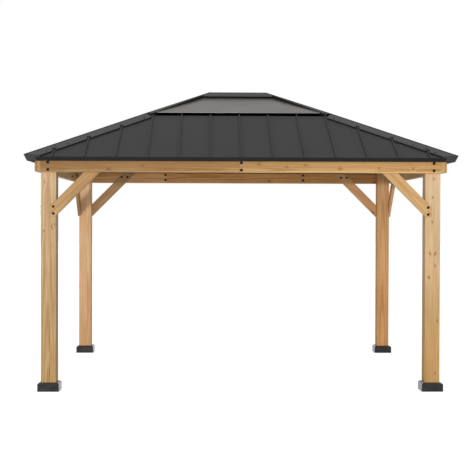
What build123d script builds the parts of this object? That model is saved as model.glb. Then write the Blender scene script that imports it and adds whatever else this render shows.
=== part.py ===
"""Timber-framed hardtop gazebo: a cedar post-and-beam frame under a steel hip roof with a skylight band.

Front faces -Y, +Z is up, the origin lies on the ground at the middle of the plan.
Every roof side is drawn in its own eave frame: U along the eave, D level inward from the eave, Z up.
On a slope, V runs up the slope from the eave and W stands square to the sheet.
"""
import os
from math import cos, radians, sin, sqrt, tan

from build123d import *

# Plan, heights and slopes
post_spacing_y = 2945
ridge_length = 609
post_top_height = 2143
eave_overhang = 77.5
roof_angle = 24.5
skylight_angle = 21.5

# Posts and their feet
post_size = 140
timber_edge_radius = 3
foot_plate_size = 184
foot_plate_thickness = 5
anchor_spacing = 162
anchor_hole_radius = 5
cover_size = 198
cover_height = 83
cover_chamfer_width = 18
cover_chamfer_height = 13
cover_wall = 3
cover_post_gap = 0.4

# Double beams bolted on the outer faces of the posts
beam_board_thickness = 25
beam_height = 120
side_beam_rise = 5
board_joint_gap = 1.5
front_joint_offset = 15
inner_joint_share = 0.436

# Knee braces, housed in the posts but proud of them, and rebated to lap behind the beams
brace_width = 103
brace_thickness = 32
brace_proud = 14
brace_reach = 328
brace_housing_width = 58
brace_foot_length = 77
brace_top_gap = 4
brace_edge_chamfer = 2

# Standing-seam steel sheet
sheet_thickness = 1
seam_pitch = 288
seam_height = 14
seam_width = 11
panel_eave_gap = 1.3
hip_gap = 4
seat_gap = 0.3

# Eave trim
fascia_height = 40
trim_flange_width = 34
trim_lip_width = 14

# Hip caps
cap_half_width = 97
cap_ridge_height = 23.3
cap_edge_height = 11
cap_end_length = 220
cap_joint_gap = 1.5
cap_skylight_gap = 40
notch_side_gap = 10
upper_cap_half_width = 60
upper_cap_tip_half_width = 16
cut_overrun = 40

# Skylight band and crown
skylight_width = 590
skylight_lift = 21
pane_thickness = 6
pane_ridge_gap = 45
sill_front_width = 45
sill_back_width = 66
sill_upstand_offset = 30
sill_joint_gap = 0.8
seam_skylight_gap = 35
crown_half_width = 84
crown_rise = 20
crown_lip_height = 15
crown_skirt_half_width = 68

# Steel rafters under the sheet
rafter_width = 40
rafter_depth = 42
rafter_wall = 3
rafter_eave_gap = 60
rafter_seat_height = 9
purlin_width = 120
purlin_offset = 76
ridge_block_half_width = 60
bracket_edge_gap = 3
bracket_length = 44
hip_bracket_length = 90
front_rafter_seam_count = 2
side_rafter_seam_count = 1

side_angle = 90
hip_plan_angle = 45

# Values that follow from the above
tan_roof = tan(radians(roof_angle))
cos_roof = cos(radians(roof_angle))
sin_roof = sin(radians(roof_angle))
tan_skylight = tan(radians(skylight_angle))
cos_skylight = cos(radians(skylight_angle))
root_two = sqrt(2)
beam_thickness = 2 * beam_board_thickness
post_half = post_size / 2
post_y = post_spacing_y / 2
post_x = (post_spacing_y + ridge_length) / 2
face_x = post_x + post_half
face_y = post_y + post_half
roof_run = face_y + beam_thickness + eave_overhang
ridge_half = ridge_length / 2
roof_half_x = roof_run + ridge_half
roof_half_y = roof_run
beam_bottom = post_top_height - beam_height
rafter_drop = (sheet_thickness + seat_gap) / cos_roof + rafter_depth
eave_height = post_top_height + rafter_seat_height + rafter_drop - tan_roof * eave_overhang
skylight_start = roof_run - skylight_width
panel_run = skylight_start - sill_front_width
cap_run = skylight_start - cap_skylight_gap
skylight_height = eave_height + tan_roof * skylight_start + skylight_lift
ridge_height = skylight_height + tan_skylight * skylight_width
cap_reach = cap_half_width * root_two
cap_fall = (cap_ridge_height - cap_edge_height) / cap_reach
notch_rise = seam_height + seat_gap + sheet_thickness - cap_edge_height
notch_run = notch_rise / cap_fall + seam_width / 2 + seam_height * sin_roof
crown_height = eave_height + tan_roof * roof_run + crown_rise
crown_eave = crown_height - tan_roof * crown_half_width
crown_bottom = ridge_height - tan_skylight * (crown_skirt_half_width - sheet_thickness) + seat_gap
upper_cap_start = cap_run + cap_joint_gap
upper_cap_end = roof_run - crown_half_width - seat_gap
upper_cap_foot = eave_height + tan_roof * upper_cap_start + cap_ridge_height / cos_roof
tan_upper_cap = (crown_eave - upper_cap_foot) / (upper_cap_end - upper_cap_start)

sides = ("front", "right", "back", "left")
corners = ("front_left", "front_right", "back_right", "back_left")
corner_signs = ((-1, -1), (1, -1), (1, 1), (-1, 1))


def save(node, pieces):
    """Write one named piece made of one or more solids."""
    solids = [solid for piece in pieces for solid in piece.solids()]
    export_step(Compound(solids), f"parts/{node}.step")


def polygon(points):
    """Closed flat face through the points."""
    return make_face(Polyline(*points, close=True))


def block(x0, x1, y0, y1, z0, z1):
    """Upright box between two corners."""
    return Location((x0, y0, z0)) * Box(x1 - x0, y1 - y0, z1 - z0, align=Align.MIN)


def section_bar(points, start, end):
    """Bar with a section in (D, Z), running along U from start to end."""
    return Location((start, 0, 0)) * extrude(Plane.YZ * polygon(points), amount=end - start)


def roof_z(run, drop=0):
    """Height on the steel slopes at a level run from the eave, less a drop square to the slope."""
    return eave_height + tan_roof * run - drop / cos_roof


def skylight_z(run, drop=0):
    """Height on the skylight slopes at a level run from the eave, less a drop square to the slope."""
    return skylight_height + tan_skylight * (run - skylight_start) - drop / cos_skylight


def upper_cap_z(run):
    """Fold line of the upper hip caps, from the lower caps to the crown's eave."""
    return upper_cap_foot + tan_upper_cap * (run - upper_cap_start)


def rafter_top(run):
    """Top of the lower rafters, just under the sheet."""
    return roof_z(run, sheet_thickness + seat_gap)


def pane_seat(run):
    """Top of the steel that carries the panes."""
    return skylight_z(run, pane_thickness + seat_gap)


def slope_point(v, w):
    """(D, Z) of a point given up the steel slope and square to it."""
    return (v * cos_roof - w * sin_roof, eave_height + v * sin_roof + w * cos_roof)


def side_place(index):
    """Place of a roof side's eave frame and half the length of its eave."""
    along_x = index % 2 == 0
    half, out = (roof_half_x, roof_half_y) if along_x else (roof_half_y, roof_half_x)
    turn = Location((0, 0, 0), (0, 0, side_angle * index))
    return turn * Location((0, -out, 0)), half


def corner_place(index):
    """Place of a hip's frame: X runs inward from the roof corner along the hip in plan."""
    sx, sy = corner_signs[index]
    turn = hip_plan_angle + side_angle * index
    return Location((sx * roof_half_x, sy * roof_half_y, 0), (0, 0, turn))


def hip_wedge(half, gap):
    """Plan wedge of one roof side between its two hips, kept off each hip by the gap."""
    reach = half - gap * root_two
    wide = reach + cut_overrun
    plan = polygon(((-wide, -cut_overrun), (wide, -cut_overrun), (0, reach)))
    return extrude(plan, amount=crown_height)


def hip_sweep(section, start, end, height, slope):
    """Sweep an upright section along a hip between two level runs from the eave."""
    run = end - start
    path = Vector(run * root_two, 0, run * slope)
    face = Location((start * root_two, 0, height)) * (Plane.YZ * section)
    return extrude(face, amount=path.length, dir=path.normalized())


def hip_block(half_width, peak, slope, bottom):
    """Small hip-ended block centred on the ridge."""
    half_length = ridge_half + half_width
    shoulder = peak - slope * half_width
    gable = [(-half_width, bottom), (half_width, bottom), (half_width, shoulder), (0, peak)]
    gable.append((-half_width, shoulder))
    flank = [(-half_length, bottom), (half_length, bottom), (half_length, shoulder)]
    flank += [(ridge_half, peak), (-ridge_half, peak), (-half_length, shoulder)]
    across = extrude(Plane.XZ * polygon(flank), half_width, both=True)
    return section_bar(gable, -half_length, half_length) & across


# Posts, braces and feet
def brace_outline():
    """Brace seen square on: level from the post's inner face, upward from the beam's underside."""
    rise = beam_height - brace_top_gap
    upper = brace_reach - brace_width / root_two
    lower = brace_reach + brace_width / root_two
    foot = -brace_reach - brace_foot_length
    heel = -brace_housing_width
    head = [(upper + rise, rise), (lower + rise, rise)]
    return polygon(head + [(foot + lower, foot), (heel, foot), (heel, heel - upper)])


def brace_solid(along_x, sx, sy):
    """Brace of one post, proud of it below the beam and rebated to lap behind the beam."""
    reach = brace_reach + brace_width / root_two + beam_height
    if along_x:
        board = extrude(Plane.XZ * brace_outline(), amount=-brace_thickness)
        board = Location((0, -brace_proud, 0)) * board
        board -= block(0, reach, -brace_proud, 0, 0, beam_height)
        board = Location((post_half - post_x, -face_y, beam_bottom)) * board
    else:
        board = extrude(Plane.YZ * brace_outline(), amount=brace_thickness)
        board = Location((-brace_proud, 0, 0)) * board
        board -= block(-brace_proud, 0, 0, reach, 0, beam_height)
        board = Location((-face_x, post_half - post_y, beam_bottom + side_beam_rise)) * board
    if sx > 0:
        board = mirror(board, about=Plane.YZ)
    if sy > 0:
        board = mirror(board, about=Plane.XZ)
    return board


def eased(solid, axis):
    """Board with its long edges rounded over."""
    return fillet(solid.edges().filter_by(axis), timber_edge_radius)


def eased_brace(board):
    """Brace with its long slanting edges planed off."""
    return chamfer(board.edges().filter_by(lambda edge: edge.length > 2 * brace_width), brace_edge_chamfer)


def post_solid(x, y, braces):
    """Square post standing on its foot plate, housed for its two braces."""
    h = post_half
    shaft = block(x - h, x + h, y - h, y + h, foot_plate_thickness, post_top_height)
    return eased(shaft, Axis.Z) - braces


def chamfered_block(size, height):
    """Square block with a sloping rim at the top."""
    wide = size / 2
    rim = wide - cover_chamfer_width
    straight = height - cover_chamfer_height
    outline = [(-wide, 0), (wide, 0), (wide, straight), (rim, height), (-rim, height), (-wide, straight)]
    return section_bar(outline, -wide, wide) & extrude(Plane.XZ * polygon(outline), wide, both=True)


def cover_solid():
    """Hollow chamfered cover around the foot of a post."""
    hole = post_half + cover_post_gap
    opening = block(-hole, hole, -hole, hole, 0, cover_height)
    inside = chamfered_block(cover_size - 2 * cover_wall, cover_height - cover_wall)
    return chamfered_block(cover_size, cover_height) - inside - opening


def foot_plate_solid():
    """Steel plate under a post with four anchor holes."""
    h = foot_plate_size / 2
    drill = Cylinder(anchor_hole_radius, 2 * foot_plate_thickness)
    holes = [place * drill for place in GridLocations(anchor_spacing, anchor_spacing, 2, 2)]
    return block(-h, h, -h, h, 0, foot_plate_thickness) - holes


# Beams
def board_ends(half, joints):
    """Ends of the boards of one layer, with a gap at each joint."""
    edges = [-half]
    for joint in joints:
        edges += [joint - board_joint_gap / 2, joint + board_joint_gap / 2]
    edges.append(half)
    return list(zip(edges[0::2], edges[1::2]))


def save_beam(name, sign, along_x):
    """Outer layer of two boards and inner layer of three, the joints staggered."""
    face = face_y if along_x else face_x
    half = face_x - seat_gap if along_x else face_y + beam_thickness
    low = beam_bottom if along_x else beam_bottom + side_beam_rise
    shift = sign * front_joint_offset if along_x else 0
    inner_joint = half * inner_joint_share
    layers = (("inner", face, [-inner_joint, inner_joint]), ("outer", face + beam_board_thickness, [shift]))
    for layer, start, joints in layers:
        across = sorted((sign * start, sign * (start + beam_board_thickness)))
        boards = []
        for a, b in board_ends(half, joints):
            plan = (a, b, *across) if along_x else (*across, a, b)
            boards.append(eased(block(*plan, low, low + beam_height), Axis.X if along_x else Axis.Y))
        save(f"beam_{name}_{layer}", boards)


# Roof sides
def seam_lines(half):
    """Seam positions along one eave, the middle seam at zero."""
    count = int((half - cap_reach) // seam_pitch)
    return [seam_pitch * n for n in range(-count, count + 1)]


def slope_sweep(points, start, end):
    """Sweep a (U, W) section down the steel slope between two level runs from the eave."""
    top = Plane((0, end, roof_z(end)), x_dir=(1, 0, 0), z_dir=(0, -cos_roof, -sin_roof))
    return extrude(top * polygon(points), amount=(end - start) / cos_roof)


def panel_section(start, end, leg_start, leg_end):
    """Flat pan with an upturned leg at each seam it meets."""
    t = sheet_thickness
    leg = seam_height - t - seat_gap
    points = [(start, -t), (end, -t)]
    points += [(end, leg), (end - t, leg), (end - t, 0)] if leg_end else [(end, 0)]
    points += [(start + t, 0), (start + t, leg), (start, leg)] if leg_start else [(start, 0)]
    return points


def seam_section(line):
    """Folded cap clipped over the two legs of a seam."""
    out = seam_width / 2
    inn = out - sheet_thickness
    top = seam_height - sheet_thickness
    right = [(line + out, seam_height), (line + out, seat_gap), (line + inn, seat_gap), (line + inn, top)]
    left = [(line - inn, top), (line - inn, seat_gap), (line - out, seat_gap), (line - out, seam_height)]
    return right + left


def seam_solid(line):
    """Seam cap of one joint, folded shut at the eave."""
    out = seam_width / 2
    shut = [(line - out, seat_gap), (line + out, seat_gap)]
    shut += [(line + out, seam_height), (line - out, seam_height)]
    bar = slope_sweep(seam_section(line), 0, skylight_start - seam_skylight_gap)
    return bar + slope_sweep(shut, 0, sheet_thickness)


def panel_solids(half):
    """Panels and seam caps of one roof side, cut along the hips."""
    wedge = hip_wedge(half, hip_gap)
    lines = seam_lines(half)
    leg_inset = seam_width / 2 - 2 * sheet_thickness - seat_gap
    spans = [(-half, lines[0] - leg_inset, False, True)]
    spans += [(a + leg_inset, b - leg_inset, True, True) for a, b in zip(lines[:-1], lines[1:])]
    spans.append((lines[-1] + leg_inset, half, True, False))
    panels = [slope_sweep(panel_section(*span), panel_eave_gap, panel_run) & wedge for span in spans]
    return panels + [seam_solid(line) & wedge for line in lines]


def trim_solid(half):
    """Folded eave trim: a flange under the panels, a leaning fascia and a drip lip."""
    t = sheet_thickness
    low = -t - seat_gap
    lip = trim_lip_width
    flange = trim_flange_width
    points = [(0, 0), (0, -fascia_height), (lip, -fascia_height), (lip, t - fascia_height)]
    points += [(t, t - fascia_height), (t, low - t), (flange, low - t), (flange, low), (t, low), (t, 0)]
    bar = section_bar([slope_point(v, w) for v, w in points], -half, half)
    return bar & hip_wedge(half, seat_gap / 2)


def sill_solid(half):
    """Flat strip above the panel tops with an upstand that carries the foot of the pane."""
    a = panel_run + sill_joint_gap
    b = skylight_start + sill_back_width
    u = skylight_start + sill_upstand_offset
    v = u + rafter_wall
    points = [(a, roof_z(a)), (u, roof_z(u)), (u, pane_seat(u)), (v, pane_seat(v)), (v, roof_z(v))]
    points += [(b, roof_z(b)), (b, roof_z(b, sheet_thickness)), (a, roof_z(a, sheet_thickness))]
    return section_bar(points, -half, half) & hip_wedge(half, hip_gap)


def pane_solid(half):
    """Tinted pane of one roof side."""
    a = skylight_start
    b = roof_run - pane_ridge_gap
    points = [(a, skylight_z(a)), (b, skylight_z(b))]
    points += [(b, skylight_z(b, pane_thickness)), (a, skylight_z(a, pane_thickness))]
    return section_bar(points, -half, half) & hip_wedge(half, hip_gap)


def slanted_box(a, b, inset):
    """(D, Z) section between two runs under the sheet, drawn in by an inset on every side."""
    tops = [(d, rafter_top(d) - inset / cos_roof) for d in (a + inset, b - inset)]
    lows = [(d, rafter_top(d) - rafter_depth + inset / cos_roof) for d in (b - inset, a + inset)]
    return tops + lows


def purlin_solid(half):
    """Box purlin under the panel tops and the sill."""
    a = skylight_start - purlin_offset
    b = a + purlin_width
    bar = section_bar(slanted_box(a, b, 0), -half, half)
    hollow = section_bar(slanted_box(a, b, rafter_wall), -half, half)
    return (bar - hollow) & hip_wedge(half, rafter_width / 2 + seat_gap)


def common_rafter_solid(line):
    """Rafter from the eave to the purlin."""
    section = slanted_box(rafter_eave_gap, skylight_start - purlin_offset - seat_gap, 0)
    return section_bar(section, line - rafter_width / 2, line + rafter_width / 2)


def beam_bracket_solid(line, seat):
    """Wedge bracket carrying a common rafter on top of a beam."""
    a = eave_overhang + bracket_edge_gap
    b = a + bracket_length
    points = [(a, seat), (b, seat), (b, rafter_top(b) - rafter_depth), (a, rafter_top(a) - rafter_depth)]
    return section_bar(points, line - rafter_width / 2, line + rafter_width / 2)


def notch_solid(line, half):
    """Cut-out for one seam in the edge of a lower hip cap, as far in as the seam stands above the cap."""
    out = seam_width / 2 + notch_side_gap
    cross = half - abs(line) - cap_reach
    points = [(line - out, 0), (line + out, 0)]
    points += [(line + out, cap_ridge_height), (line - out, cap_ridge_height)]
    return slope_sweep(points, cross - cut_overrun, cross + notch_run)


# Hips
def hip_layer(start, end, wide, top, low, line, slope, droop=0):
    """Roof-shaped layer along a hip between two heights above its line, the top drooping at its edges."""
    fall = slope / root_two * wide
    right = [(wide, top - fall - droop), (wide, low - fall)]
    left = [(-wide, low - fall), (-wide, top - fall - droop)]
    return hip_sweep(polygon([(0, top)] + right + [(0, low)] + left), start, end, line(start), slope)


def plan_taper(start, end, half_start, half_end):
    """Plan strip along a hip that narrows from one half width to the other."""
    a = start * root_two
    b = end * root_two
    plan = polygon(((a, -half_start), (b, -half_end), (b, half_end), (a, half_start)))
    return extrude(plan, amount=crown_height)


def folded_cap(start, end, half_start, half_end, fold, base):
    """Folded cap along a hip; its fold is (line, tangent, height, droop) and its base (line, tangent)."""
    t = sheet_thickness
    line, slope, top, droop = fold
    shell = hip_layer(start, end, half_start, top, -cut_overrun, line, slope, droop)
    shell = shell & plan_taper(start, end, half_start, half_end)
    hollow = hip_layer(start, end, half_start, top - t, -2 * cut_overrun, line, slope, droop)
    hollow = hollow & plan_taper(start, end, half_start - t, half_end - t)
    ground = hip_layer(start, end, half_start, seat_gap, -2 * cut_overrun, *base)
    return shell - hollow - ground


def cap_end_plate(half, sign):
    """Upright end of a hip cap over the fascia."""
    near = half - cap_reach
    far = half + cut_overrun
    tall = cap_ridge_height + cap_fall * cut_overrun
    points = [(near, seat_gap), (far, seat_gap), (far, tall), (near, cap_edge_height)]
    plate = slope_sweep([(sign * u, w) for u, w in points], 0, sheet_thickness * cos_roof)
    return plate & hip_wedge(half, 0)


def eave_keep(half):
    """Everything on the inner side of the leaning fascia plane."""
    far = 2 * cap_end_length
    points = [slope_point(v, w) for v, w in ((0, -far), (far, -far), (far, far), (0, far))]
    return section_bar(points, -half - cut_overrun, half + cut_overrun)


def lower_cap_solids(index):
    """Lower hip cap in two lengths, closed at the eave and notched over the seams it crosses."""
    place = corner_place(index)
    droop = (cap_ridge_height - cap_edge_height) / cos_roof
    fold = (roof_z, tan_roof, cap_ridge_height / cos_roof, droop)
    form = (cap_half_width, cap_half_width, fold, (roof_z, tan_roof))
    end_piece = place * folded_cap(-cut_overrun, cap_end_length, *form)
    main_piece = place * folded_cap(cap_end_length + cap_joint_gap, cap_run, *form)
    notches = []
    for side, sign in ((index, -1), ((index - 1) % len(sides), 1)):
        side_frame, half = side_place(side)
        end_piece = end_piece & (side_frame * eave_keep(half))
        end_piece = end_piece + side_frame * cap_end_plate(half, sign)
        near = [line for line in seam_lines(half) if sign * line > half - cap_reach - cap_run]
        notches += [side_frame * notch_solid(line, half) for line in near]
    return [end_piece - notches, main_piece - notches]


def inside_run(run):
    """Upright block over the part of the plan that lies further in from the eaves than a run."""
    x = roof_half_x - run
    y = roof_half_y - run
    return block(-x, x, -y, y, 0, crown_height)


def upper_cap_solid(index):
    """Tapering cap over the joint between two panes; its foot stands on the sill, below the panes."""
    place = corner_place(index)
    fold = (upper_cap_z, tan_upper_cap, 0, 0)
    form = (upper_cap_start - cut_overrun, roof_run, upper_cap_half_width, upper_cap_tip_half_width, fold)
    on_panes = inside_run(skylight_start - seat_gap)
    foot = place * folded_cap(*form, (roof_z, tan_roof)) - on_panes
    band = place * folded_cap(*form, (skylight_z, tan_skylight)) & on_panes
    return ((foot + band) & inside_run(upper_cap_start)) - inside_run(upper_cap_end)


def hip_rafter_section(slope):
    """Peaked box section that fits under both slopes of a hip."""
    h = rafter_width / 2
    w = rafter_wall
    fall = slope / root_two
    outer = polygon(((0, 0), (h, -fall * h), (h, -rafter_depth), (-h, -rafter_depth), (-h, -fall * h)))
    i = h - w
    low = w - rafter_depth
    return outer - polygon(((0, -w), (i, -w - fall * i), (i, low), (-i, low), (-i, -w - fall * i)))


def hip_rafter_solids(index):
    """Lower and upper rafters of one hip."""
    place = corner_place(index)
    start = rafter_eave_gap
    split = skylight_start + sill_back_width
    low = place * hip_sweep(hip_rafter_section(tan_roof), start, split, rafter_top(start), tan_roof)
    start = skylight_start
    section = hip_rafter_section(tan_skylight)
    high = place * hip_sweep(section, start, roof_run, pane_seat(start), tan_skylight)
    high = high & inside_run(split + seat_gap)
    return [low, high - inside_run(roof_run - ridge_block_half_width - seat_gap)]


def hip_bracket_solid(index):
    """Wedge bracket carrying a hip rafter on top of a post."""
    run = roof_run - post_y
    half_run = hip_bracket_length / 2 / root_two
    a = run - half_run
    b = run + half_run
    points = [(a * root_two, post_top_height), (b * root_two, post_top_height)]
    points += [(d * root_two, rafter_top(d) - rafter_depth) for d in (b, a)]
    return corner_place(index) * extrude(Plane.XZ * polygon(points), rafter_width / 2, both=True)


def crown_solid():
    """Folded hip-ended crown with a drip lip, and a skirt inside it that stands on the panes."""
    t = sheet_thickness
    under = crown_height - t / cos_roof
    shell = hip_block(crown_half_width, crown_height, tan_roof, crown_eave - crown_lip_height)
    shell = shell - hip_block(crown_half_width - t, under, tan_roof, 0)
    skirt = hip_block(crown_skirt_half_width, under, tan_roof, crown_bottom)
    return shell + (skirt - hip_block(crown_skirt_half_width - t, under, tan_roof, 0))


def ridge_block_solid():
    """Hollow hip-ended block that the hip rafters and panes meet at the ridge."""
    w = rafter_wall
    peak = pane_seat(roof_run)
    bottom = peak - tan_skylight * ridge_block_half_width - rafter_depth
    outer = hip_block(ridge_block_half_width, peak, tan_skylight, bottom)
    return outer - hip_block(ridge_block_half_width - w, peak - w / cos_skylight, tan_skylight, 0)


os.makedirs("parts", exist_ok=True)

plates = []
for corner, (sx, sy) in zip(corners, corner_signs):
    post_place = Location((sx * post_x, sy * post_y, 0))
    brace_x = brace_solid(True, sx, sy)
    brace_y = brace_solid(False, sx, sy)
    save(f"post_{corner}", [post_solid(sx * post_x, sy * post_y, [brace_x, brace_y])])
    save(f"brace_{corner}_x", [eased_brace(brace_x)])
    save(f"brace_{corner}_y", [eased_brace(brace_y)])
    save(f"base_cover_{corner}", [post_place * cover_solid()])
    plates.append(post_place * foot_plate_solid())
save("foot_plates", plates)

for name, sign, along_x in (("front", -1, True), ("back", 1, True), ("left", -1, False), ("right", 1, False)):
    save_beam(name, sign, along_x)

sills = []
purlins = []
commons = []
brackets = []
for index, name in enumerate(sides):
    frame, half = side_place(index)
    along_x = index % 2 == 0
    save(f"roof_panels_{name}", [frame * panel for panel in panel_solids(half)])
    save(f"eave_trim_{name}", [frame * trim_solid(half)])
    save(f"skylight_pane_{name}", [frame * pane_solid(half)])
    sills.append(frame * sill_solid(half))
    purlins.append(frame * purlin_solid(half))
    line = seam_pitch * (front_rafter_seam_count if along_x else side_rafter_seam_count)
    seat = post_top_height if along_x else post_top_height + side_beam_rise
    commons += [frame * common_rafter_solid(u) for u in (-line, line)]
    brackets += [frame * beam_bracket_solid(u, seat) for u in (-line, line)]

hip_rafters = []
for index, corner in enumerate(corners):
    save(f"hip_cap_{corner}", lower_cap_solids(index) + [upper_cap_solid(index)])
    hip_rafters += hip_rafter_solids(index)
    brackets.append(hip_bracket_solid(index))

save("skylight_sill", sills)
save("skylight_purlins", purlins)
save("common_rafters", commons)
save("hip_rafters", hip_rafters)
save("rafter_brackets", brackets)
save("ridge_block", [ridge_block_solid()])
save("crown_cap", [crown_solid()])
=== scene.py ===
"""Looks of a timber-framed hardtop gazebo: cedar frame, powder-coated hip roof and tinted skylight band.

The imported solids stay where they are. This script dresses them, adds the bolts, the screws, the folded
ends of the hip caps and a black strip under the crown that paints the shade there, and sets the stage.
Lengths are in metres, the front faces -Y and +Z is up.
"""
import logging
import math
from dataclasses import dataclass, replace
from enum import Enum
from random import Random
from typing import Optional, Sequence, Union

import bmesh
import bpy
from mathutils import Euler, Matrix, Vector


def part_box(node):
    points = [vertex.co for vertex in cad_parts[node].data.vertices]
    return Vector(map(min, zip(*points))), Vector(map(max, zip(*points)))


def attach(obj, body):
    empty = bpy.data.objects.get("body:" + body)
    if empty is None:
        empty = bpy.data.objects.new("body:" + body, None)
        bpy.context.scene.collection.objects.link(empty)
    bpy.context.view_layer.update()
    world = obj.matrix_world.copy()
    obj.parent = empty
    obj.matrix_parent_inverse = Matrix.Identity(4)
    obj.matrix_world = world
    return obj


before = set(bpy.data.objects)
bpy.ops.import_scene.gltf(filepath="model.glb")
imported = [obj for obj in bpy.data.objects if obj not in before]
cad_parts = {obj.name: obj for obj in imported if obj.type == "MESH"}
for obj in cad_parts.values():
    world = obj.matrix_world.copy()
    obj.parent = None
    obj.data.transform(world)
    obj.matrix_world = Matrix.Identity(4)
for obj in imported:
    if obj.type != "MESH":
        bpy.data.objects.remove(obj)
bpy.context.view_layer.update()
ROOT_BODY = "root"
LOG = logging.getLogger("gazebo")
UP = (0.0, 0.0, 1.0)
WHITE = (1.0, 1.0, 1.0, 1.0)
NOISE_RANGE = (0.3, 0.7)
WIDE_RANGE = (0.2, 0.8)
SHARP_ANGLE = math.radians(35)

BMesh = bmesh.types.BMesh
Ring = Sequence[bmesh.types.BMVert]
Material = bpy.types.Material
Socket = bpy.types.NodeSocket
Signal = Union[float, Sequence[float], Socket]
Pair = tuple[float, float]
Triple = tuple[float, float, float]
Colour = tuple[float, float, float, float]


class Slot(Enum):
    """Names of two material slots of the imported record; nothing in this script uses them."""

    ROOF_STEEL = "roof_steel"
    FRAME_STEEL = "frame_steel"


class Place(Enum):
    """Place in the plan that a node is named after."""

    @property
    def label(self) -> str:
        """Name of the place as the nodes write it."""
        return self.name.lower()


class Corner(Place):
    """Corners of the plan, as the signs of X and Y."""

    FRONT_LEFT = (-1, -1)
    FRONT_RIGHT = (1, -1)
    BACK_RIGHT = (1, 1)
    BACK_LEFT = (-1, 1)


class Side(Place):
    """Sides of the plan, as quarter turns from the front."""

    FRONT = 0
    RIGHT = 1
    BACK = 2
    LEFT = 3

    @property
    def along_x(self) -> bool:
        """Whether the side runs along X."""
        return self.value % 2 == 0

    @property
    def axis(self) -> Triple:
        """Direction along the side."""
        return (1.0, 0.0, 0.0) if self.along_x else (0.0, 1.0, 0.0)

    @property
    def turn(self) -> Matrix:
        """Rotation that carries the front onto this side."""
        return Matrix.Rotation(math.radians(90 * self.value), 4, "Z")


class Facing(Enum):
    """Which way the head of a fastener looks on a side."""

    OUTWARD = 1
    INWARD = -1


@dataclass(frozen=True)
class Tone:
    """Colour as the eye reads it, in 8-bit sRGB."""

    red: float
    green: float
    blue: float

    def linear(self, gain: float = 1.0) -> Colour:
        """Linear colour for a shader.

        Args:
            gain: Factor on the linear values.

        Returns:
            Red, green, blue and an opaque alpha.
        """
        codes = (self.red / 255, self.green / 255, self.blue / 255)
        values = [c / 12.92 if c <= 0.04045 else ((c + 0.055) / 1.055) ** 2.4 for c in codes]
        return (*(value * gain for value in values), 1.0)


@dataclass(frozen=True)
class Figure:
    """Soft noise: cells per metre, octaves, weight of the finer ones and squeeze along the grain."""

    scale: float
    detail: float
    roughness: float
    squeeze: float = 1.0


class NodeTree:
    """Adds nodes to a tree and links them."""

    def __init__(self, tree: bpy.types.NodeTree) -> None:
        """Take a tree over and empty it."""
        self.tree = tree
        self.tree.nodes.clear()

    def node(self, kind: str, **settings: object) -> bpy.types.Node:
        """Add a node.

        Args:
            kind: Blender's type name of the node.
            settings: Properties to set on it.

        Returns:
            The new node.
        """
        made = self.tree.nodes.new(kind)
        for key, value in settings.items():
            setattr(made, key, value)
        return made

    def feed(self, socket: Socket, value: Signal) -> None:
        """Link a socket to a signal, or set it to a constant."""
        if isinstance(value, Socket):
            self.tree.links.new(value, socket)
        else:
            socket.default_value = value

    def math(self, operation: str, *values: Signal) -> Socket:
        """Scalar arithmetic.

        Args:
            operation: Name of the operation.
            values: Its operands.

        Returns:
            The result.
        """
        made = self.node("ShaderNodeMath", operation=operation)
        for socket, value in zip(made.inputs, values):
            self.feed(socket, value)
        return made.outputs[0]

    def seen_mask(self) -> Socket:
        """1 for what the camera sees straight, in reflections or through panes, 0 for what only lights."""
        path = self.node("ShaderNodeLightPath").outputs
        seen = path["Is Camera Ray"]
        for ray in ("Is Glossy Ray", "Is Transmission Ray"):
            seen = self.math("MAXIMUM", seen, path[ray])
        return seen


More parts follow.
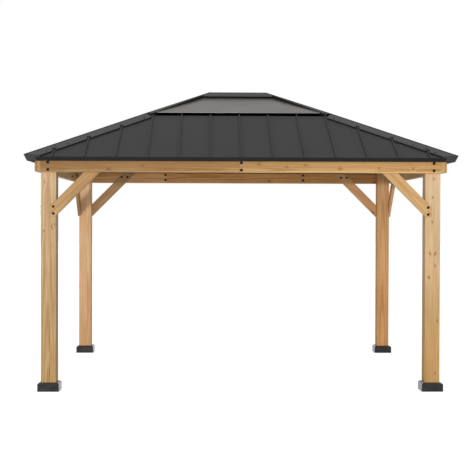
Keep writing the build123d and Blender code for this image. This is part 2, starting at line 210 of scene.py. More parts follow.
class ShaderTree(NodeTree):
    """Builds one material around a single surface shader."""

    def __init__(self, name: str) -> None:
        """Start an empty material.

        Args:
            name: Name of the material.
        """
        self.material = bpy.data.materials.new(name)
        self.material.use_nodes = True
        super().__init__(self.material.node_tree)
        self.surface = self.node("ShaderNodeBsdfPrincipled")
        output = self.node("ShaderNodeOutputMaterial")
        self.feed(output.inputs["Surface"], self.surface.outputs["BSDF"])

    def put(self, name: str, value: Signal) -> None:
        """Set one value of the surface shader, or link it to a signal."""
        self.feed(self.surface.inputs[name], value)

    def place(self) -> Socket:
        """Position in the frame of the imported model."""
        return self.node("ShaderNodeTexCoord").outputs["Object"]

    def face_normal(self) -> Socket:
        """Direction that the flat face looks."""
        return self.node("ShaderNodeNewGeometry").outputs["True Normal"]

    def vector(self, operation: str, *values: Signal) -> Socket:
        """Vector arithmetic.

        Args:
            operation: Name of the operation.
            values: Its operands; the second of a scaling is a number.

        Returns:
            The result, which is a number for a dot product or a length.
        """
        made = self.node("ShaderNodeVectorMath", operation=operation)
        sockets = (made.inputs[0], made.inputs["Scale"]) if operation == "SCALE" else made.inputs
        for socket, value in zip(sockets, values):
            self.feed(socket, value)
        return made.outputs["Value" if operation in ("DOT_PRODUCT", "LENGTH") else "Vector"]

    def dot(self, first: Signal, second: Signal) -> Socket:
        """Dot product of two vectors."""
        return self.vector("DOT_PRODUCT", first, second)

    def axes(self, vector: Socket) -> tuple[Socket, ...]:
        """X, Y and Z of a vector."""
        made = self.node("ShaderNodeSeparateXYZ")
        self.feed(made.inputs["Vector"], vector)
        return tuple(made.outputs)

    def stretch(self, place: Socket, factors: Sequence[float]) -> Socket:
        """Position scaled by a factor on each axis."""
        return self.vector("MULTIPLY", place, tuple(factors))

    def noise(self, place: Socket, figure: Figure) -> Socket:
        """Soft noise between 0 and 1.

        Args:
            place: Position to sample at.
            figure: Its scale, octaves and squeeze.

        Returns:
            The noise value.
        """
        if figure.squeeze != 1:
            place = self.stretch(place, (1, 1, figure.squeeze))
        made = self.node("ShaderNodeTexNoise")
        self.feed(made.inputs["Vector"], place)
        for key in ("Scale", "Detail", "Roughness"):
            made.inputs[key].default_value = getattr(figure, key.lower())
        return made.outputs["Fac"]

    def span(self, value: Signal, low: float, high: float, start: float = 0.0, end: float = 1.0) -> Socket:
        """Smooth step of a value from one range to another.

        Args:
            value: The value.
            low: Where the step begins.
            high: Where the step ends.
            start: Result at the beginning.
            end: Result at the end.

        Returns:
            The stepped value.
        """
        made = self.node("ShaderNodeMapRange", interpolation_type="SMOOTHSTEP")
        for socket, part in zip(made.inputs, (value, low, high, start, end)):
            self.feed(socket, part)
        return made.outputs["Result"]

    def mix(self, factor: Signal, first: Signal, second: Signal, blend: str = "MIX") -> Socket:
        """Mix two colours.

        Args:
            factor: Share of the second colour.
            first: Colour at 0.
            second: Colour at 1.
            blend: Blend mode.

        Returns:
            The mixed colour.
        """
        made = self.node("ShaderNodeMix", data_type="RGBA", blend_type=blend)
        for key, value in ((0, factor), (6, first), (7, second)):
            self.feed(made.inputs[key], value)
        return made.outputs[2]

    def vary(self, signal: Socket, tone: Tone, spread: float, limits: Pair = NOISE_RANGE) -> Socket:
        """Tone that turns darker and paler by a share, between two limits of a signal."""
        return self.mix(self.span(signal, *limits), tone.linear(1 - spread), tone.linear(1 + spread))

    def roughen(self, signal: Socket, mean: float, spread: Pair) -> None:
        """Let the roughness follow soft noise from a little below its mean to a little above."""
        self.put("Roughness", self.span(signal, *NOISE_RANGE, mean - spread[0], mean + spread[1]))

    def fold_mask(self, radius: float, depth: float = 0.80, flat: float = 0.99) -> Socket:
        """Mask of folds and edges.

        Args:
            radius: Reach of the mask from the edge.
            depth: Likeness of the rounded and the flat normal at which the mask is full.
            flat: Likeness at which it begins.

        Returns:
            1 on folds and edges, 0 on flat faces.
        """
        rounded = self.node("ShaderNodeBevel")
        rounded.inputs["Radius"].default_value = radius
        return self.span(self.dot(rounded.outputs["Normal"], self.face_normal()), flat, depth)

    def upright_mask(self, sloping: float = 0.35, steep: float = 0.20) -> Socket:
        """1 on upright faces, 0 on sloping ones, by how far the face looks up or down."""
        return self.span(self.math("ABSOLUTE", self.dot(self.face_normal(), UP)), sloping, steep)

    def bump(self, height: Socket, distance: float, strength: float) -> None:
        """Give the surface a relief.

        Args:
            height: Height signal between 0 and 1.
            distance: Height in metres at 1.
            strength: Share of the relief that shows.
        """
        made = self.node("ShaderNodeBump")
        for key, value in (("Height", height), ("Distance", distance), ("Strength", strength)):
            self.feed(made.inputs[key], value)
        self.put("Normal", made.outputs["Normal"])


@dataclass(frozen=True)
class Mark:
    """Knot or drying check in a timber: a dark spot drawn out along the grain."""

    centre: Triple
    across: float
    along: float
    strength: float


@dataclass(frozen=True)
class Timber:
    """One timber node: its grain, the boards in it and the marks on them."""

    node: str
    grain: Triple
    tones: tuple[Tone, ...]
    seed: int
    joints: tuple[float, ...] = ()
    marks: tuple[Mark, ...] = ()
    head: Optional[Tone] = None
    end: Optional[Tone] = None
    # Painted highlight along the lower and upper edges of the timber.
    painted_edge_light: bool = False
    # Painted light: share by which the tone ramps darker and paler along the timber.
    light_ramp: float = 0.0


@dataclass(frozen=True)
class CedarFinish:
    """Stained cedar with growth rings, fibre streaks, slow patches, knots and end grain."""

    ring_spacing: float = 0.0062
    ring_wave: Figure = Figure(8, 2, 0.5, 0.14)
    ring_waviness: float = 0.016
    ring_taper: float = 0.006
    ring_weight: float = 0.34
    late_wood_power: float = 1.6
    streak: Figure = Figure(72, 3, 0.6, 0.045)
    streak_weight: float = 0.74
    fibre: Figure = Figure(420, 2, 0.6, 0.015)
    fibre_weight: float = 0.24
    patch: Figure = Figure(4.2, 3, 0.55, 0.4)
    patch_weight: float = 0.56
    deep_range: Pair = (0.60, 1.22)
    start_reach: float = 20.0
    pith_distance: Pair = (0.05, 0.16)
    knot_edge: Pair = (1.1, 0.45)
    knot_swell: float = 0.014
    knot_tone: Tone = Tone(120, 76, 42)
    halo_edge: Pair = (3.0, 0.8)
    halo_share: float = 0.5
    pale: Triple = (1.10, 1.11, 1.12)
    deep: Triple = (0.76, 0.67, 0.54)
    end_shade: Triple = (0.93, 0.91, 0.90)
    end_facing: Pair = (0.75, 0.95)
    end_tone_share: float = 0.85
    # Painted highlight along the edges of level boards: its gain, its width and its share on the upper edge.
    edge_highlight_gain: Triple = (1.20, 1.32, 1.58)
    edge_highlight_width: float = 0.030
    upper_highlight_share: float = 0.45
    board_shift: Triple = (5.3, 2.9, 7.7)
    roughness: Pair = (0.55, 0.69)
    specular: float = 0.15
    fibre_relief: float = 0.5
    ring_relief: float = 0.35
    relief_height: float = 0.0008
    relief_strength: float = 0.35

    def material(self, timber: Timber) -> Material:
        """Wood of one timber."""
        return CedarTree(self, timber).build()


class CedarTree(ShaderTree):
    """Builds the wood of one timber in the frame of its grain, which runs along Z there."""

    def __init__(self, finish: CedarFinish, timber: Timber) -> None:
        """Start the wood of a timber.

        Args:
            finish: What the wood looks like.
            timber: The timber to dress.
        """
        super().__init__(f"cedar_{timber.node}")
        self.finish = finish
        self.timber = timber
        self.low, self.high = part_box(timber.node)
        self.draw = Random(timber.seed)
        self.grain = Vector(timber.grain).normalized()
        self.turn = self.grain.rotation_difference(Vector(UP))
        mapping = self.node("ShaderNodeMapping")
        self.feed(mapping.inputs["Vector"], self.place())
        mapping.inputs["Rotation"].default_value = self.turn.to_euler()
        self.local = mapping.outputs["Vector"]
        self.along = self.axes(self.local)[2]

    def build(self) -> Material:
        """Put the wood together.

        Returns:
            The material.
        """
        look = self.finish
        tone, board = self.boards()
        shift = self.vector("SCALE", look.board_shift, board)
        start = tuple(self.draw.uniform(-look.start_reach, look.start_reach) for _ in range(3))
        seeded = self.vector("ADD", self.vector("ADD", self.local, start), shift)
        knots, halo = self.knots()
        ring = self.rings(seeded, halo)
        streak, fibre, patch = (self.noise(seeded, part) for part in (look.streak, look.fibre, look.patch))
        depth = self.blend((ring, look.ring_weight), (streak, look.streak_weight),
                           (fibre, look.fibre_weight), (patch, look.patch_weight))
        shade = self.span(depth, *look.deep_range)
        colour = self.mix(shade, self.tint(tone, look.pale), self.tint(tone, look.deep))
        colour = self.mix(halo, colour, self.tint(colour, look.deep))
        colour = self.mix(knots, colour, look.knot_tone.linear())
        # Painted highlight along the board's lower and upper edges.
        if self.timber.painted_edge_light:
            colour = self.edge_highlight_bands(colour)
        self.put("Base Color", self.end_grain(colour))
        self.put("Roughness", self.span(fibre, *WIDE_RANGE, *look.roughness))
        self.put("Specular IOR Level", look.specular)
        relief = self.blend((fibre, look.fibre_relief), (ring, look.ring_relief))
        self.bump(relief, look.relief_height, look.relief_strength)
        return self.material

    def blend(self, *parts: tuple[Signal, float]) -> Signal:
        """Weighted sum of signals.

        Args:
            parts: Signals with their weights.

        Returns:
            The sum.
        """
        total: Signal = 0.0
        for signal, weight in parts:
            total = self.math("MULTIPLY_ADD", signal, weight, total)
        return total

    def tint(self, colour: Signal, factors: Triple) -> Socket:
        """Colour multiplied channel by channel."""
        return self.mix(1.0, colour, (*factors, 1.0), "MULTIPLY")

    def boards(self) -> tuple[Signal, Signal]:
        """Tone and number of the board at a place.

        Returns:
            The tone of the board and its number from 0.
        """
        timber = self.timber
        tone: Signal = timber.tones[0].linear()
        number: Signal = 0.0
        for joint, next_tone in zip(timber.joints, timber.tones[1:]):
            past = self.math("GREATER_THAN", self.along, joint)
            tone = self.mix(past, tone, next_tone.linear())
            number = self.math("ADD", number, past)
        ends = [self.grain.dot(corner) for corner in (self.low, self.high)]
        if timber.head:
            tone = self.mix(self.span(self.along, *ends), tone, timber.head.linear())
        # Painted light: the tone ramps from darker at the timber's low end to paler at its high end.
        if timber.light_ramp:
            gain = self.span(self.along, *ends, 1 - timber.light_ramp, 1 + timber.light_ramp)
            tone = self.vector("SCALE", tone, gain)
        return tone, number

    def knots(self) -> tuple[Signal, Signal]:
        """Masks of the knots and of the darker wood around them.

        Returns:
            The knots' mask and the halo's.
        """
        look = self.finish
        core: Signal = 0.0
        halo: Signal = 0.0
        for mark in self.timber.marks:
            centre = tuple(self.turn @ Vector(mark.centre))
            offset = self.vector("SUBTRACT", self.local, centre)
            scaled = self.stretch(offset, (1 / mark.across, 1 / mark.across, 1 / mark.along))
            distance = self.vector("LENGTH", scaled)
            core = self.math("MAXIMUM", core, self.span(distance, *look.knot_edge, 0.0, mark.strength))
            around = self.span(distance, *look.halo_edge, 0.0, mark.strength * look.halo_share)
            halo = self.math("MAXIMUM", halo, around)
        return core, halo

    def rings(self, seeded: Socket, halo: Signal) -> Socket:
        """Growth rings around a pith that runs beside the timber.

        Args:
            seeded: Position in the grain's frame, shifted for this timber and board.
            halo: Mask around the knots, where the rings swell.

        Returns:
            Ring signal, 1 in the late wood.
        """
        look = self.finish
        centre = self.turn @ ((self.low + self.high) / 2)
        angle = self.draw.uniform(0, math.tau)
        reach = self.draw.uniform(*look.pith_distance)
        pith = (centre.x + reach * math.cos(angle), centre.y + reach * math.sin(angle), 0.0)
        flat = self.vector("SUBTRACT", self.stretch(self.local, (1, 1, 0)), pith)
        radius = self.vector("LENGTH", flat)
        wave = self.noise(seeded, look.ring_wave)
        run = self.blend((wave, look.ring_waviness), (halo, look.knot_swell),
                         (self.along, look.ring_taper), (radius, 1.0))
        phase = self.math("MULTIPLY", run, math.tau / look.ring_spacing)
        swing = self.math("MULTIPLY_ADD", self.math("SINE", phase), 0.5, 0.5)
        return self.math("POWER", swing, look.late_wood_power)

    def edge_highlight_bands(self, colour: Socket) -> Socket:
        """Painted highlight along the lower and upper edges of a level board, where its eased edges catch the
        light.

        Args:
            colour: Colour of the board.

        Returns:
            Colour with the two bands.
        """
        look = self.finish
        low, high = self.low.z, self.high.z
        height = self.axes(self.place())[2]
        under = self.span(height, low + look.edge_highlight_width, low)
        over = self.span(height, high - look.edge_highlight_width, high, 0.0, look.upper_highlight_share)
        return self.mix(self.math("MAXIMUM", under, over), colour, self.tint(colour, look.edge_highlight_gain))

    def end_grain(self, colour: Socket) -> Socket:
        """Shade the sawn ends.

        Args:
            colour: Colour of the long faces.

        Returns:
            Colour with the ends shaded.
        """
        look = self.finish
        facing = self.math("ABSOLUTE", self.dot(self.face_normal(), tuple(self.grain)))
        sawn = self.tint(colour, look.end_shade)
        if self.timber.end:
            sawn = self.mix(look.end_tone_share, sawn, self.timber.end.linear())
        return self.mix(self.span(facing, *look.end_facing), colour, sawn)


@dataclass(frozen=True)
class SteelFinish:
    """Powder-coated steel with a fine texture, slow waves in the flat sheet and a fold tone painted along
    folds and edges: a painted highlight where it is paler than the tone, painted shade where it is darker.
    """

    tone: Tone
    painted_fold_tone: Tone
    roughness: float = 0.6
    specular: float = 0.15
    wave_height: float = 0.0
    fold_radius: float = 0.002
    fold_depth: float = 0.80
    # Half width of the painted shade along the hip folds, and the share of it that is full.
    crease: float = 0.0
    hip_shade_core_share: float = 0.5
    # Tone of upright faces: painted shade, for the caps' turned-down edges that stand in shadow.
    upright: Optional[Tone] = None
    cloud: Figure = Figure(1.7, 3, 0.55)
    speck: Figure = Figure(650, 2, 0.6)
    wave: Figure = Figure(2.6, 1, 0.4)
    speck_height: float = 0.00012
    tone_spread: float = 0.07
    roughness_spread: Pair = (0.05, 0.06)

    def material(self, name: str) -> Material:
        """Coated steel.

        Args:
            name: Name of the material.

        Returns:
            The material.
        """
        tree = ShaderTree(name)
        place = tree.place()
        cloud, speck, wave = (tree.noise(place, part) for part in (self.cloud, self.speck, self.wave))
        colour = tree.vary(cloud, self.tone, self.tone_spread)
        # Fold tone along folds and edges: painted highlight where it is paler than the tone, painted shade
        # where it is darker.
        colour = tree.mix(tree.fold_mask(self.fold_radius, self.fold_depth), colour, self.painted_fold_tone.linear())
        # Painted shade along the hip folds, where each cap's far half turns away from the light.
        if self.crease:
            colour = tree.mix(self.hip_shade_mask(tree), colour, self.painted_fold_tone.linear())
        # Painted shade on upright faces.
        if self.upright:
            colour = tree.mix(tree.upright_mask(), colour, self.upright.linear())
        tree.put("Base Color", colour)
        even = tree.math("MULTIPLY_ADD", speck, 0.5, tree.math("MULTIPLY", cloud, 0.5))
        tree.roughen(even, self.roughness, self.roughness_spread)
        tree.put("Specular IOR Level", self.specular)
        grit = tree.math("MULTIPLY", speck, self.speck_height)
        tree.bump(tree.math("MULTIPLY_ADD", wave, self.wave_height, grit), 1.0, 1.0)
        return tree.material

    def hip_shade_mask(self, tree: ShaderTree) -> Socket:
        """Mask of the painted shade along the hips, which run at 45 degrees from the ends of the ridge.

        Args:
            tree: Tree to build in.

        Returns:
            1 on the hip lines, 0 beyond the shade's half width.
        """
        x, y, _ = tree.axes(tree.vector("ABSOLUTE", tree.place()))
        lead = tree.math("SUBTRACT", x, y)
        offset = tree.math("ABSOLUTE", tree.math("SUBTRACT", lead, ridge_half()))
        return tree.span(offset, self.crease, self.crease * self.hip_shade_core_share)


@dataclass(frozen=True)
class PaneFinish:
    """Bronze-grey twin-wall sheet: tinted, a little see-through, with fine ribs down the slope."""

    tone: Tone = Tone(77, 71, 66)
    roughness: float = 0.30
    transmission: float = 0.12
    rib_pitch: float = 0.010
    rib_tint: float = 0.06
    rib_height: float = 0.0002
    rib_strength: float = 0.25
    cloud: Figure = Figure(1.3, 3, 0.5)
    tone_spread: float = 0.08
    roughness_spread: Pair = (0.04, 0.06)

    def material(self, name: str, across: Triple) -> Material:
        """Tinted sheet of one roof side.

        Args:
            name: Name of the material.
            across: Direction along the eave, which the ribs repeat in.

        Returns:
            The material.
        """
        tree = ShaderTree(name)
        place = tree.place()
        cloud = tree.noise(place, self.cloud)
        run = tree.dot(place, across)
        rib = tree.math("SINE", tree.math("MULTIPLY", run, math.tau / self.rib_pitch))
        ribbed = tree.math("MULTIPLY_ADD", rib, self.rib_tint, cloud)
        tree.put("Base Color", tree.vary(ribbed, self.tone, self.tone_spread, WIDE_RANGE))
        tree.roughen(cloud, self.roughness, self.roughness_spread)
        tree.put("Transmission Weight", self.transmission)
        tree.bump(tree.math("MULTIPLY_ADD", rib, 0.5, 0.5), self.rib_height, self.rib_strength)
        return tree.material


@dataclass(frozen=True)
class PlasticFinish:
    """Moulded charcoal plastic with a fine pebble, a painted highlight along the edges and a painted
    reflection of the wooden posts on the faces that look up.
    """

    tone: Tone = Tone(18, 18, 18)
    edge_highlight_tone: Tone = Tone(28, 28, 28)
    wood_reflection_tone: Tone = Tone(58, 50, 44)
    wood_reflection_rise: Pair = (0.2, 0.6)
    roughness: float = 0.19
    specular: float = 0.30
    edge_radius: float = 0.004
    pebble: Figure = Figure(900, 2, 0.5)
    pebble_height: float = 0.0001
    pebble_strength: float = 0.3
    cloud: Figure = Figure(14, 3, 0.5)
    tone_spread: float = 0.1
    roughness_spread: Pair = (0.04, 0.08)

    def material(self, name: str) -> Material:
        """Moulded plastic.

        Args:
            name: Name of the material.

        Returns:
            The material.
        """
        tree = ShaderTree(name)
        place = tree.place()
        cloud = tree.noise(place, self.cloud)
        colour = tree.vary(cloud, self.tone, self.tone_spread)
        # Painted highlight along the edges.
        colour = tree.mix(tree.fold_mask(self.edge_radius), colour, self.edge_highlight_tone.linear())
        # Painted reflection of the wood: brown on the faces that look up.
        rise = tree.dot(tree.face_normal(), UP)
        tree.put("Base Color", tree.mix(tree.span(rise, *self.wood_reflection_rise), colour, self.wood_reflection_tone.linear()))
        tree.roughen(cloud, self.roughness, self.roughness_spread)
        tree.put("Specular IOR Level", self.specular)
        tree.bump(tree.noise(place, self.pebble), self.pebble_height, self.pebble_strength)
        return tree.material


# Panels, trims, crown, caps and cap ends are one coat, toned to how bright each looks: the trims' darker tone
# is painted shade on a fascia that leans to face down, and the paler crown, caps and cap ends are painted
# light on faces that catch more.
ROOF_STEEL = SteelFinish(Tone(49, 49, 49), Tone(80, 80, 80), wave_height=0.0006)
FASCIA_STEEL = SteelFinish(Tone(26, 26, 26), Tone(34, 34, 34), specular=0.12)
CROWN_STEEL = SteelFinish(Tone(74, 74, 74), Tone(44, 44, 44), fold_radius=0.004)
CAP_STEEL = SteelFinish(Tone(80, 80, 80), Tone(24, 24, 24), fold_radius=0.014, fold_depth=0.93,
                        crease=0.028, upright=Tone(8, 8, 8))
END_STEEL = SteelFinish(Tone(56, 56, 56), Tone(36, 36, 36), fold_radius=0.004)
# Near-black and without specular: painted shade for the skylight's sill and the strip under the crown, which
# stand where the roof's gaps lie in shadow.
SHADE_BLACK_STEEL = SteelFinish(Tone(3, 3, 3), Tone(6, 6, 6), roughness=0.8, specular=0.0)
FRAME_STEEL = SteelFinish(Tone(38, 38, 39), Tone(62, 62, 63), roughness=0.5, specular=0.2)
BOLT_STEEL = SteelFinish(Tone(5, 5, 5), Tone(16, 16, 16), roughness=0.5, fold_radius=0.0008)


def dress(node: str, material: Material) -> None:
    """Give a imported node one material.

    Args:
        node: Name of the node.
        material: Its finish.
    """
    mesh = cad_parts[node].data
    mesh.materials.clear()
    mesh.materials.append(material)
    LOG.info("dressed %s with %s", node, material.name)


def ridge_half() -> float:
    """Half length of the roof's ridge, from the box of the crown."""
    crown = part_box("crown_cap")[1]
    return crown.x - crown.y


def add_object(name: str, data: bpy.types.ID) -> bpy.types.Object:
    """Add an object to the scene, around its mesh, lamp or camera."""
    made = bpy.data.objects.new(name, data)
    bpy.context.scene.collection.objects.link(made)
    return made


def add_piece(name: str, mesh: BMesh, material: Material) -> None:
    """Turn a mesh into a piece that rides on the frame.

    Args:
        name: Name of the piece.
        mesh: Its mesh, which is freed.
        material: Its finish.
    """
    data = bpy.data.meshes.new(name)
    bmesh.ops.recalc_face_normals(mesh, faces=mesh.faces)
    mesh.to_mesh(data)
    mesh.free()
    data.shade_smooth()
    data.set_sharp_from_angle(angle=SHARP_ANGLE)
    data.materials.append(material)
    piece = add_object(name, data)
    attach(piece, ROOT_BODY)
    LOG.info("added %s with %d faces", name, len(data.polygons))


def bridge(mesh: BMesh, lower: Ring, upper: Ring) -> None:
    """Add the band of faces between two rings of as many points."""
    for step in range(len(lower)):
        after = (step + 1) % len(lower)
        mesh.faces.new((lower[step], lower[after], upper[after], upper[step]))


def lathe(mesh: BMesh, seat: Matrix, outline: Sequence[Pair], count: int) -> None:
    """Add a closed turned body.

    Args:
        mesh: Mesh to add to.
        seat: Place of the body, with Z along its axis.
        outline: Radius and height of each ring, from the bottom up.
        count: Points around each ring.
    """
    angles = [math.tau * step / count for step in range(count)]
    rings = []
    for radius, height in outline:
        points = [Vector((radius * math.cos(a), radius * math.sin(a), height)) for a in angles]
        rings.append([mesh.verts.new(seat @ point) for point in points])
    for lower, upper in zip(rings, rings[1:]):
        bridge(mesh, lower, upper)
    mesh.faces.new(rings[-1])
    mesh.faces.new(list(reversed(rings[0])))


@dataclass(frozen=True)
class FastenerShape:
    """Six-sided head with a rounded top on a round washer."""

    washer_radius: float
    washer_thickness: float
    head_radius: float
    head_height: float
    chamfer_share: float = 0.4
    shoulder_share: float = 0.25
    rim_share: float = 0.78
    dome_share: float = 0.8
    dome_top_share: float = 0.7
    dome_rise_share: float = 0.3
    washer_points: int = 28
    head_sides: int = 6

    def stamp(self, mesh: BMesh, seat: Matrix) -> None:
        """Add one fastener to a mesh.

        Args:
            mesh: Mesh to add to.
            seat: Its place, with Z standing off the surface.
        """
        r, t = self.washer_radius, self.washer_thickness
        edge = t * (1 - self.chamfer_share)
        lathe(mesh, seat, ((r, 0), (r, edge), (r - t * self.chamfer_share, t)), self.washer_points)
        h, top = self.head_radius, t + self.head_height
        shoulder = top - self.head_height * self.shoulder_share
        lathe(mesh, seat, ((h, t), (h, shoulder), (h * self.rim_share, top)), self.head_sides)
        dome, crest = h * self.rim_share * self.dome_share, top + t * self.dome_rise_share
        lathe(mesh, seat, ((dome, top), (dome * self.dome_top_share, crest)), self.washer_points)


@dataclass(frozen=True)
class BeamLine:
    """One side's double beam as the frame places it."""

    side: Side
    post_offset: float
    post_half: float
    outer_face: float
    thickness: float
    bottom: float
    top: float
    half_length: float
    joint_offset: float = -0.015
    inner_joint_share: float = 0.436

    @property
    def outer_joint(self) -> float:
        """Place of the outer boards' joint along the side, off the middle in the long beams alone."""
        return self.joint_offset if self.side.along_x else 0.0

    @property
    def inner_joint(self) -> float:
        """Distance of the inner boards' joints from the middle of the side."""
        return self.half_length * self.inner_joint_share

    @classmethod
    def from_frame(cls, side: Side) -> "BeamLine":
        """Read a beam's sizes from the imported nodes.

        Args:
            side: Side of the plan.

        Returns:
            The beam's sizes.
        """
        low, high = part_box(f"beam_{side.label}_outer")
        inner_low, inner_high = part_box(f"beam_{side.label}_inner")
        post_low, post_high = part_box("post_back_right")
        axis, across = (0, 1) if side.along_x else (1, 0)
        outer = max(abs(low[across]), abs(high[across]))
        inner = min(abs(inner_low[across]), abs(inner_high[across]))
        centre = (post_low[axis] + post_high[axis]) / 2
        half = (post_high[axis] - post_low[axis]) / 2
        return cls(side, centre, half, outer, outer - inner, low.z, high.z, high[axis])

    def seat(self, u: float, out: float, z: float, facing: Facing) -> Matrix:
        """Place of a fastener, u along the side and out from the plan's middle, with Z off the surface."""
        tilt = Matrix.Rotation(math.radians(90 * facing.value), 4, "X")
        return self.side.turn @ Matrix.Translation((u, -out, z)) @ tilt


@dataclass(frozen=True)
class FrameBolts:
    """Bolts that hold beams, posts and braces together."""

    shape: FastenerShape = FastenerShape(0.0140, 0.0025, 0.0100, 0.0070)
    low_shape: FastenerShape = FastenerShape(0.0130, 0.0015, 0.0095, 0.0040)
    low_rise: float = 0.023
    high_drop: float = 0.030
    joint_bolt_gap: float = 0.0135
    inner_bolt_gap: float = 0.023
    inner_high_drop: float = 0.022
    inner_low_rise: float = 0.037
    brace_thickness: float = 0.032
    brace_proud: float = 0.014
    brace_head_reach: float = 0.387
    brace_head_spread: float = 0.035
    brace_head_rise: float = 0.070
    brace_foot_inset: float = 0.025
    brace_foot_drops: Pair = (0.316, 0.380)

    def outer_seats(self, line: BeamLine) -> list[Matrix]:
        """Bolts on a beam's outer face, at the posts and at the middle joint."""
        middle = line.outer_joint + self.joint_bolt_gap
        heights = (line.bottom + self.low_rise, line.top - self.high_drop)
        spots = [(u, z) for u in (-line.post_offset, middle, line.post_offset) for z in heights]
        return [line.seat(u, line.outer_face, z, Facing.OUTWARD) for u, z in spots]

    def inner_seats(self, line: BeamLine) -> list[Matrix]:
        """Bolts on a beam's inner face beside the joints of the inner boards."""
        reach = line.inner_joint + self.inner_bolt_gap
        heights = (line.bottom + self.inner_low_rise, line.top - self.inner_high_drop)
        face = line.outer_face - line.thickness
        return [line.seat(u, face, z, Facing.INWARD) for u in (-reach, reach) for z in heights]

    def brace_seats(self, line: BeamLine) -> list[Matrix]:
        """Bolts at the heads of the braces, from inside, and at their feet, from outside."""
        seats = []
        outside = line.outer_face - line.thickness + self.brace_proud
        for sign in (-1, 1):
            inner_face = line.post_offset - line.post_half
            for step in (-self.brace_head_spread, self.brace_head_spread):
                u = sign * (inner_face - self.brace_head_reach + step)
                z = line.bottom + self.brace_head_rise
                seats.append(line.seat(u, outside - self.brace_thickness, z, Facing.INWARD))
            for drop in self.brace_foot_drops:
                u = sign * (inner_face + self.brace_foot_inset)
                seats.append(line.seat(u, outside, line.bottom - drop, Facing.OUTWARD))
        return seats

    def build(self) -> None:
        """Add the bolts of every side, one piece for the beams and one for the braces."""
        material = BOLT_STEEL.material("black_bolts")
        for side in Side:
            line = BeamLine.from_frame(side)
            groups = (("beam_bolts", self.shape, self.outer_seats(line) + self.inner_seats(line)),
                      ("brace_bolts", self.low_shape, self.brace_seats(line)))
            for name, shape, seats in groups:
                mesh = bmesh.new()
                for seat in seats:
                    shape.stamp(mesh, seat)
                add_piece(f"{name}_{side.label}", mesh, material)


